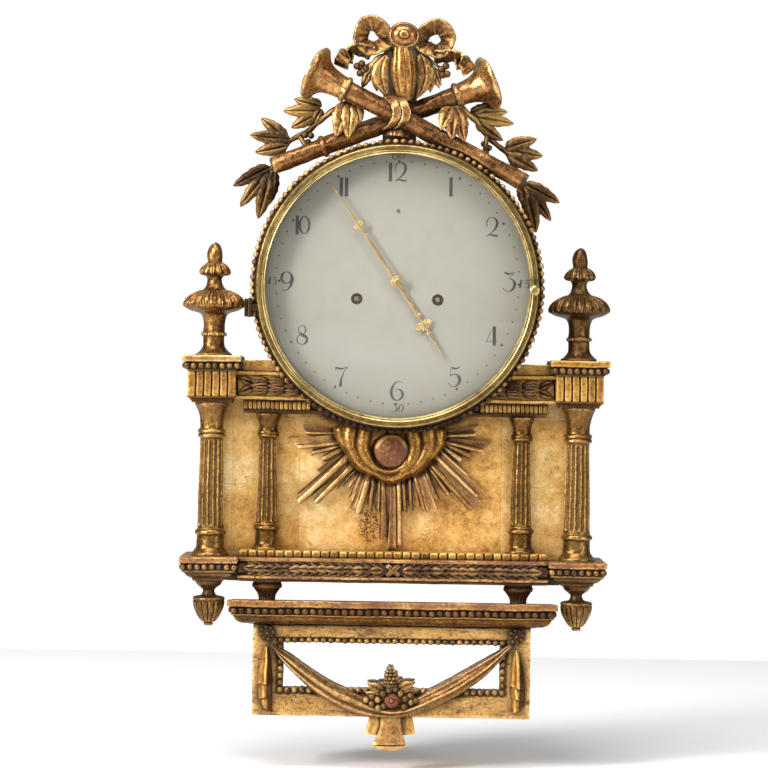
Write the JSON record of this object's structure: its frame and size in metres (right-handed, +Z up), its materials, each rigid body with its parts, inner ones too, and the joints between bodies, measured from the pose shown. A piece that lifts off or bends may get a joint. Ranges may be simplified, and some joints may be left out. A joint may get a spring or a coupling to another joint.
{
  "type": "gustavian wall clock",
  "caption": "Gilded carved-wood wall clock: round glazed dial in a drum over columns and a sunburst panel, trumpet and laurel crest, mirrored bracket with swag below.",
  "frame": {"origin": "on the wall plane (back face of the back board), on the axis of the drum", "axes": "+X to the viewer's right, -Y out of the wall towards the viewer, +Z up"},
  "size_m": [0.4948, 0.1449, 0.843],
  "materials": {
    "gilt_wood": "water-gilt carved wood, worn to red-brown bole",
    "raw_wood": "bare pine, darkened",
    "brass": "lacquered pale brass",
    "gilt_brass": "gilt brass",
    "steel": "bright steel",
    "dark_iron": "blackened iron",
    "painted_dial": "grey-white painted iron",
    "glass": "clear convex glass",
    "mirror": "silvered glass plate"
  },
  "bodies": {
    "case": {"back_board": "raw_wood", "drum_shell": "gilt_wood", "bead_moulding": "gilt_wood", "gilded_panel": "gilt_wood", "case_sides": "gilt_wood", "plinth_left": "gilt_wood", "plinth_right": "gilt_wood", "finial_left": "gilt_wood", "finial_right": "gilt_wood", "frieze_left": "gilt_wood", "frieze_right": "gilt_wood", "outer_column_left": "gilt_wood", "outer_column_right": "gilt_wood", "inner_column_left": "gilt_wood", "inner_column_right": "gilt_wood", "base_shelf": "gilt_wood", "drop_finial_left": "gilt_wood", "drop_finial_right": "gilt_wood", "bracket_posts": "gilt_wood", "bracket_cornice": "gilt_wood", "bracket_frame": "gilt_wood", "mirror_plate": "mirror", "bracket_drapery": "gilt_wood", "trumpet_left": "gilt_wood", "trumpet_right": "gilt_wood", "crest_stem": "gilt_wood", "crest_ribbon": "gilt_wood", "laurel_left": "gilt_wood", "laurel_right": "gilt_wood", "sunburst": "gilt_wood", "hanging_plate": "dark_iron", "dial_plate": "painted_dial", "hinge_bracket": "brass", "front_plate": "brass", "back_plate": "brass", "suspension_cock": "brass", "bell": "steel"},
    "bezel_door": {"bezel_ring": "brass", "dial_glass": "glass", "bezel_hinge": "brass", "bezel_knob": "brass"},
    "minute_arbor": {"minute_hand": "gilt_brass", "cannon_pinion": "brass", "hand_nut": "gilt_brass"},
    "hour_arbor": {"hour_hand": "gilt_brass", "hour_wheel": "brass"},
    "minute_wheel_arbor": {"minute_wheel": "brass"},
    "third_arbor": {"third_wheel": "brass"},
    "centre_arbor": {"centre_wheel": "brass"},
    "escape_arbor": {"escape_wheel": "brass"},
    "going_barrel_body": {"going_barrel": "brass"},
    "going_key_arbor": {"going_winding_arbor": "steel"},
    "strike_key_arbor": {"strike_winding_arbor": "steel"},
    "hoop_arbor": {"strike_hoop_wheel": "brass"},
    "pin_arbor": {"strike_pin_wheel": "brass"},
    "strike_barrel_body": {"strike_barrel": "brass"},
    "fly_arbor": {"strike_fly": "brass"},
    "hammer_body": {"strike_hammer": "steel"},
    "pendulum_body": {"pendulum": "brass"},
    "regulator_body": {"regulation_arbor": "steel"}
  },
  "joints": [
    {"name": "bezel_hinge_swing", "type": "hinge", "parent": "case", "child": "bezel_door", "pos_m": [-0.1685, -0.1218, -0.027], "axis": [0, 0, -1], "range_deg": [0, 110]},
    {"name": "minute_hand_turn", "type": "hinge", "parent": "case", "child": "minute_arbor", "pos_m": [0, -0.1, 0.0045], "axis": [0, 1, 0], "continuous": true},
    {"name": "hour_hand_turn", "type": "hinge", "parent": "case", "child": "hour_arbor", "pos_m": [0, -0.1, 0.0045], "axis": [0, 1, 0], "continuous": true},
    {"name": "minute_wheel_turn", "type": "hinge", "parent": "case", "child": "minute_wheel_arbor", "pos_m": [0, -0.094, -0.027], "axis": [0, 1, 0], "continuous": true},
    {"name": "third_wheel_turn", "type": "hinge", "parent": "case", "child": "third_arbor", "pos_m": [0, -0.065, 0.0375], "axis": [0, 1, 0], "continuous": true},
    {"name": "centre_wheel_turn", "type": "hinge", "parent": "case", "child": "centre_arbor", "pos_m": [0, -0.065, 0.0045], "axis": [0, 1, 0], "continuous": true},
    {"name": "escape_wheel_turn", "type": "hinge", "parent": "case", "child": "escape_arbor", "pos_m": [0, -0.065, 0.0648], "axis": [0, 1, 0], "continuous": true},
    {"name": "going_barrel_turn", "type": "hinge", "parent": "case", "child": "going_barrel_body", "pos_m": [0.0465, -0.06, -0.0146], "axis": [0, 1, 0], "continuous": true},
    {"name": "going_wind_turn", "type": "hinge", "parent": "case", "child": "going_key_arbor", "pos_m": [0.0465, -0.09, -0.0146], "axis": [0, 1, 0], "range_deg": [0, 1800]},
    {"name": "strike_wind_turn", "type": "hinge", "parent": "case", "child": "strike_key_arbor", "pos_m": [-0.0465, -0.09, -0.0146], "axis": [0, 1, 0], "range_deg": [0, 1800]},
    {"name": "hoop_wheel_turn", "type": "hinge", "parent": "case", "child": "hoop_arbor", "pos_m": [-0.04824, -0.065, 0.06099], "axis": [0, 1, 0], "continuous": true},
    {"name": "pin_wheel_turn", "type": "hinge", "parent": "case", "child": "pin_arbor", "pos_m": [-0.05523, -0.065, 0.03491], "axis": [0, 1, 0], "continuous": true},
    {"name": "strike_barrel_turn", "type": "hinge", "parent": "case", "child": "strike_barrel_body", "pos_m": [-0.0465, -0.06, -0.0146], "axis": [0, 1, 0], "continuous": true},
    {"name": "fly_turn", "type": "hinge", "parent": "case", "child": "fly_arbor", "pos_m": [-0.03752, -0.065, 0.07956], "axis": [0, 1, 0], "continuous": true},
    {"name": "hammer_lift", "type": "hinge", "parent": "case", "child": "hammer_body", "pos_m": [-0.062, -0.065, 0.0925], "axis": [0, -1, 0], "range_deg": [0, 10], "stiffness_Nm_per_rad": 0.03, "springref_deg": -11.46},
    {"name": "pendulum_swing", "type": "hinge", "parent": "case", "child": "pendulum_body", "pos_m": [0, -0.06, 0.0872], "axis": [0, 1, 0], "range_deg": [-4, 4]},
    {"name": "regulator_turn", "type": "hinge", "parent": "case", "child": "regulator_body", "pos_m": [0, -0.098, 0.0865], "axis": [0, 1, 0], "range_deg": [-170, 170]}
  ],
  "couplings": [
    {"joint": "hour_hand_turn", "follows": "minute_hand_turn", "ratio": 0.083333},
    {"joint": "minute_wheel_turn", "follows": "minute_hand_turn", "ratio": -0.5},
    {"joint": "third_wheel_turn", "follows": "escape_wheel_turn", "ratio": -0.083333},
    {"joint": "centre_wheel_turn", "follows": "escape_wheel_turn", "ratio": 0.0083333},
    {"joint": "going_barrel_turn", "follows": "escape_wheel_turn", "ratio": -0.0010417},
    {"joint": "hoop_wheel_turn", "follows": "fly_turn", "ratio": -0.1},
    {"joint": "pin_wheel_turn", "follows": "fly_turn", "ratio": 0.0125},
    {"joint": "strike_barrel_turn", "follows": "fly_turn", "ratio": -0.0015625}
  ]
}
